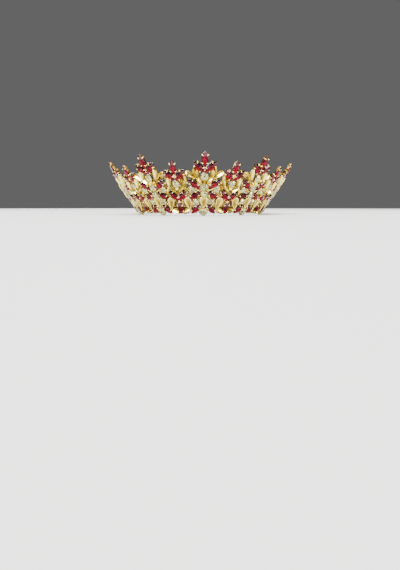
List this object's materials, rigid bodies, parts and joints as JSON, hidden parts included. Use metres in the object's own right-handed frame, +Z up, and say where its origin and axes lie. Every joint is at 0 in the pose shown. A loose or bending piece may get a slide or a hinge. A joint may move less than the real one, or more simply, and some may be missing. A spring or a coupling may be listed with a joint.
{
  "type": "bridal crown",
  "caption": "Round flared bridal crown of red navette and clear round stones set among pale gold cast leaves and pear-shaped petals, tall and shorter motifs in turn.",
  "frame": {"origin": "on the surface that the crown stands on, below the middle of its box", "axes": "+Z up along the crown's axis, -Y towards the front motif, +X to the right of a viewer who faces the front; the crown's own axis is 2 mm behind the origin because a tall motif in front faces a shorter one at the back"},
  "size_m": [0.2218, 0.22, 0.057],
  "materials": {
    "gold": "polished pale yellow gold plating",
    "red_stone": "polished, faceted, foil-backed crimson glass",
    "clear_stone": "polished, faceted, foil-backed clear glass"
  },
  "bodies": {
    "root": {"base_band": "gold", "tall_motif_01": "gold", "tall_motif_02": "gold", "tall_motif_03": "gold", "tall_motif_04": "gold", "tall_motif_05": "gold", "tall_motif_06": "gold", "tall_motif_07": "gold", "tall_motif_08": "gold", "tall_motif_09": "gold", "tall_motif_10": "gold", "tall_motif_11": "gold", "link_motif_01": "gold", "link_motif_02": "gold", "link_motif_03": "gold", "link_motif_04": "gold", "link_motif_05": "gold", "link_motif_06": "gold", "link_motif_07": "gold", "link_motif_08": "gold", "link_motif_09": "gold", "link_motif_10": "gold", "link_motif_11": "gold", "finial_stone_01": "red_stone", "finial_stone_02": "red_stone", "finial_stone_03": "red_stone", "finial_stone_04": "red_stone", "finial_stone_05": "red_stone", "finial_stone_06": "red_stone", "finial_stone_07": "red_stone", "finial_stone_08": "red_stone", "finial_stone_09": "red_stone", "finial_stone_10": "red_stone", "finial_stone_11": "red_stone", "centre_stone_01": "clear_stone", "centre_stone_02": "clear_stone", "centre_stone_03": "clear_stone", "centre_stone_04": "clear_stone", "centre_stone_05": "clear_stone", "centre_stone_06": "clear_stone", "centre_stone_07": "clear_stone", "centre_stone_08": "clear_stone", "centre_stone_09": "clear_stone", "centre_stone_10": "clear_stone", "centre_stone_11": "clear_stone", "bottom_stone_01": "clear_stone", "bottom_stone_02": "clear_stone", "bottom_stone_03": "clear_stone", "bottom_stone_04": "clear_stone", "bottom_stone_05": "clear_stone", "bottom_stone_06": "clear_stone", "bottom_stone_07": "clear_stone", "bottom_stone_08": "clear_stone", "bottom_stone_09": "clear_stone", "bottom_stone_10": "clear_stone", "bottom_stone_11": "clear_stone"}
  },
  "joints": []
}
